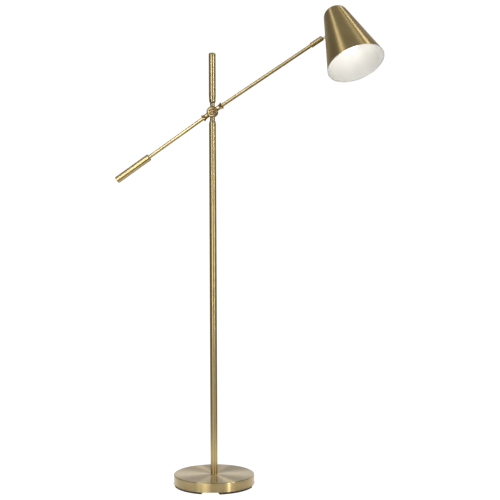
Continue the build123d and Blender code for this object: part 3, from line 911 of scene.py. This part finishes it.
def makeBulb():
    b = bulbSet
    centre = b["tip"] + b["globe"]
    flank = radians(b["flank"])
    leave = Vector((b["globe"] * cos(flank), centre + b["globe"] * sin(flank)))
    neck = Vector((b["neckRadius"], b["neckStart"]))
    reach = (neck - leave).length
    away = Vector((-sin(flank), cos(flank))) * reach
    home = Vector((0, 1)) * reach
    # a smooth curve from the neck down to the globe, along both of their sides
    outline = [(b["neckRadius"], b["neckEnd"]), (b["neckRadius"], b["neckMiddle"])]
    for step in range(b["flankSteps"], 0, -1):
        t = step / b["flankSteps"]
        blend = (2 * t ** 3 - 3 * t ** 2 + 1, t ** 3 - 2 * t ** 2 + t,
                 -2 * t ** 3 + 3 * t ** 2, t ** 3 - t ** 2)
        point = leave * blend[0] + away * blend[1] + neck * blend[2] + home * blend[3]
        outline.append((point.x, point.y))
    outline += arcOf(0, centre, b["globe"], b["flank"], -84, 20)
    outline.append((0, b["tip"]))
    return turnOnLathe("bulbGlass", outline, sides=b["sides"])


finishPiece(makeBulb(), shadePlace, "shade", "opalGlass", "opal_glass", "bulb_glass")

holderSet = {
    "mouth": 126.0,
    "mouthRound": 1.2,
    "radius": 19.5,
    "bore": 14.3,
    "seat": 163.0,
    "ribs": 5,
    "firstRib": 134,
    "ribStep": 6.4,
    "groove": [(0, 0), (0.7, 0.9), (0.7, 1.7), (0, 2.6)],   # depth and rise of each point
    "shoulder": [(19.5, 167.2), (19.2, 168.2), (15.4, 177.5), (14.6, 178.0)],
    "stem": (5, 3, 192),     # its radius, its bore and its top
    "sides": 72,
}


def makeHolder():
    h = holderSet
    outline = [(h["bore"], h["mouth"])]
    outline += arcOf(h["radius"] - h["mouthRound"], h["mouth"] + h["mouthRound"], h["mouthRound"], -90, 0, 4)
    for rib in range(h["ribs"]):
        level = h["firstRib"] + rib * h["ribStep"]
        outline += [(h["radius"] - depth, level + rise) for depth, rise in h["groove"]]
    stem, stemBore, stemTop = h["stem"]
    outline += h["shoulder"] + [
        (stem, h["shoulder"][-1][1]), (stem, stemTop), (stemBore, stemTop), (stemBore, h["seat"]),
        (h["bore"], h["seat"])]
    return turnOnLathe("lampholder", outline, sides=h["sides"], ring=True)


finishPiece(makeHolder(), shadePlace, "shade", "porcelain", "porcelain", "lampholder_body")
print("bulb and lampholder made")


# feet: four curved pads under the rim of the base
footSet = {
    "outer": 137.0,
    "width": 22.0,
    "height": 7.0,
    "arc": 67.0,             # degrees that one foot covers, and how far all four are turned
    "turn": 5.0,
    "steps": 28,
    "endSlope": 5.0,
    "rim": 4.0,              # round the channel in the sole
    "channel": 1.0,
    "edge": 0.7,
}
footNames = ["right", "rear", "left", "front"]


def makeFoot():
    # a flat section spun through its arc
    f = footSet
    middle = ((f["outer"] - f["width"] / 2) * mm, 0, f["height"] / 2 * mm)
    clearSelection()
    bpy.ops.mesh.primitive_plane_add(size=1, location=middle, rotation=(radians(90), 0, 0))
    foot = bpy.context.object
    foot.name = "footPadRight"
    foot.scale = (f["width"] * mm, f["height"] * mm, 1)
    bpy.ops.object.transform_apply(location=True, rotation=True, scale=True)
    foot.matrix_world = Matrix.Rotation(radians(f["turn"] + 45 - f["arc"] / 2), 4, "Z")
    bpy.ops.object.transform_apply(location=True, rotation=True, scale=True)
    bpy.ops.object.mode_set(mode="EDIT")
    bpy.ops.mesh.select_all(action="SELECT")
    bpy.ops.mesh.spin(steps=f["steps"], angle=-radians(f["arc"]), center=(0, 0, 0), axis=(0, 0, 1))
    closeUp()
    return foot


def pickOut(kind):
    # nothing selected, ready to pick faces or edges in code
    bpy.ops.object.mode_set(mode="EDIT")
    bpy.ops.mesh.select_mode(type=kind)
    bpy.ops.mesh.select_all(action="DESELECT")
    bpy.ops.object.mode_set(mode="OBJECT")


def slopeFootEnds(foot):
    # the two lower edges that run across the ends
    nearly = 0.001
    pickOut("EDGE")
    turns = [atan2(vertex.co.y, vertex.co.x) for vertex in foot.data.vertices]
    ends = (min(turns), max(turns))
    for edge in foot.data.edges:
        first, second = edge.vertices
        low = all(foot.data.vertices[end].co.z < 0.1 * mm for end in edge.vertices)
        across = abs(turns[first] - turns[second]) < nearly
        edge.select = low and across and min(abs(turns[first] - end) for end in ends) < nearly
    bpy.ops.object.mode_set(mode="EDIT")
    bpy.ops.mesh.bevel(offset=footSet["endSlope"] * mm, segments=1)
    bpy.ops.object.mode_set(mode="OBJECT")


def cutChannel(foot):
    pickOut("FACE")
    for face in foot.data.polygons:
        face.select = face.normal.z < -0.9
    bpy.ops.object.mode_set(mode="EDIT")
    bpy.ops.mesh.inset(thickness=footSet["rim"] * mm, use_boundary=True)
    bpy.ops.mesh.extrude_region_move(TRANSFORM_OT_translate={"value": (0, 0, footSet["channel"] * mm)})
    bpy.ops.object.mode_set(mode="OBJECT")


foot = makeFoot()
slopeFootEnds(foot)
cutChannel(foot)
soften(foot, footSet["edge"])
for count, name in enumerate(footNames):
    quarter = Matrix.Rotation(radians(90 * count), 4, "Z")
    pad = foot if count == 0 else copyOf(foot, "footPad" + name.title(), quarter)
    finishPiece(pad, uprightPlace, "base", "footRubber", "rubber_pad", "foot_pad_" + name)
print("feet made")


# finishes for the nodes that keep their shape
kept = {
    "baseBrass": ["base_cover"],
    "turnedBrass": ["mast_hub"],
    "knuckleBrass": ["boom_hub"],
    "capBrass": ["pivot_screw", "pivot_nut"],
    "boomBrass": ["boom_tube", "clevis", "tilt_screw", "shade_stem", "stem_saddle"],
    "weightBrass": ["weight_rod", "counterweight_plug"],
    "contactBrass": ["lampholder_shell", "lampholder_contact"],
    "greyIron": ["base_weight", "counterweight_core"],
    "blackPaint": ["base_pan"],
    "blackPlastic": ["cord_bushing"],
    "nylon": ["swivel_washer", "friction_ring", "tilt_washers"],
    "leadSheath": ["lead_pole", "lead_knuckle", "lead_boom", "lead_socket"],
    "capPlate": ["bulb_cap"],
    "zincPlate": ["base_washer", "base_nut", "base_nipple", "pole_foot_bush", "pole_coupler_lower",
                  "pole_coupler_upper", "swivel_spring_washer", "swivel_nut", "swivel_stop_pin",
                  "pivot_spring_washer", "swivel_collar", "tilt_nut", "socket_bracket", "stem_nut",
                  "lampholder_nut"],
}
for finish, names in kept.items():
    for name in names:
        slots = nodes[name].material_slots
        if not slots:
            nodes[name].data.materials.append(finishes[finish])
        for slot in slots:
            slot.material = finishes[finish]
print("nodes finished")
